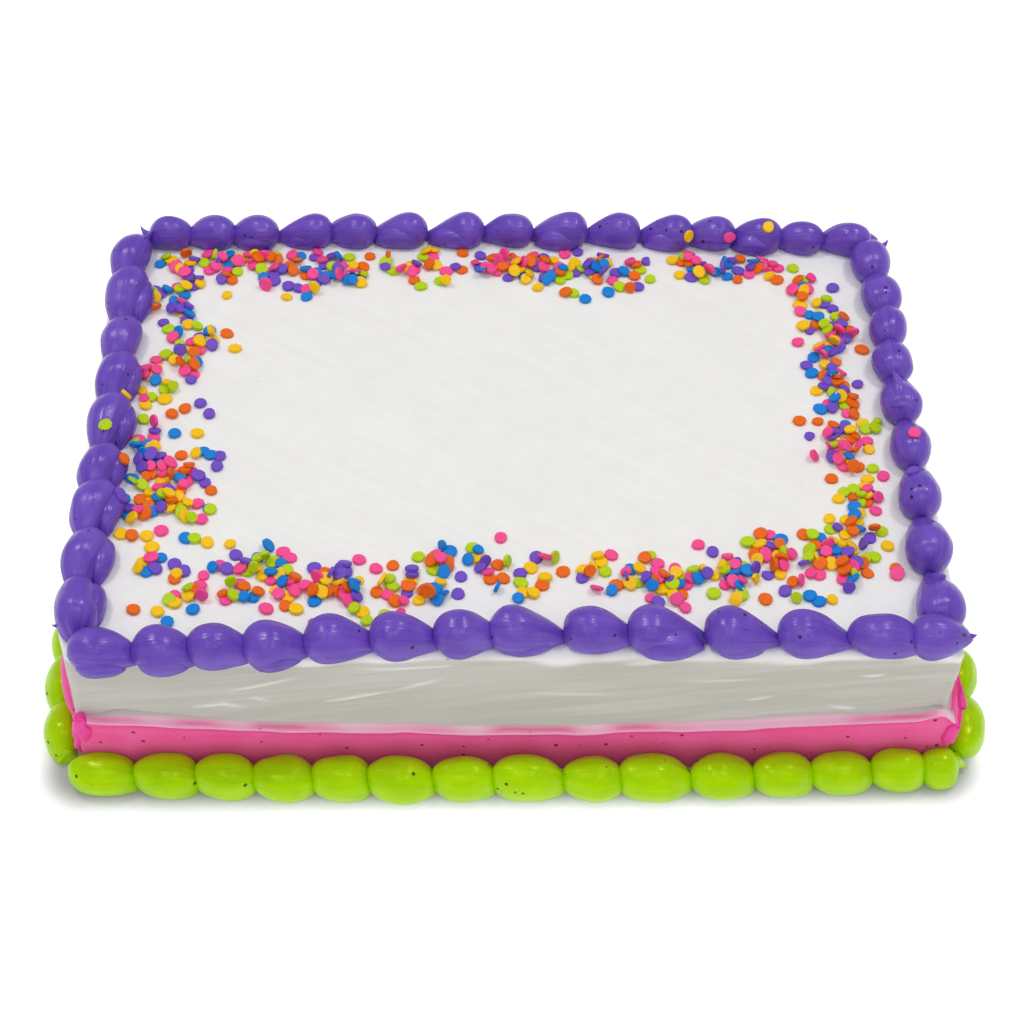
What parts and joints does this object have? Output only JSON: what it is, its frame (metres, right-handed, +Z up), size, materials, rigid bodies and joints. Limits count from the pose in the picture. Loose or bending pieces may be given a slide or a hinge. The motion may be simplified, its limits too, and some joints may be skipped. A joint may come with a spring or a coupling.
{
  "type": "decorated sheet cake",
  "caption": "Rectangular white-iced sheet cake with piped shell borders round its top edge and its foot, a flat icing band on the walls, and confetti sprinkles round the top.",
  "frame": {"origin": "middle of the whole cake's footprint, on the surface that it stands on", "axes": "+X along the length, to the right seen from the front; the front faces -Y; +Z up"},
  "size_m": [0.371, 0.2762, 0.0842],
  "materials": {
    "white_icing": "whipped icing, soft satin",
    "pink_icing": "whipped icing, soft satin",
    "purple_icing": "piped icing, satin with soft highlights",
    "green_icing": "piped icing, satin with soft highlights",
    "confetti_yellow": "pressed sugar, waxy",
    "confetti_orange": "pressed sugar, waxy",
    "confetti_pink": "pressed sugar, waxy",
    "confetti_lime": "pressed sugar, waxy",
    "confetti_violet": "pressed sugar, waxy",
    "confetti_blue": "pressed sugar, waxy"
  },
  "bodies": {
    "root": {"cake": "white_icing", "ribbon_front": "pink_icing", "ribbon_right": "pink_icing", "ribbon_back": "pink_icing", "ribbon_left": "pink_icing", "top_border_front": "purple_icing", "top_border_right": "purple_icing", "top_border_back": "purple_icing", "top_border_left": "purple_icing", "bottom_border_front": "green_icing", "bottom_border_right": "green_icing", "bottom_border_back": "green_icing", "bottom_border_left": "green_icing"}
  },
  "joints": []
}
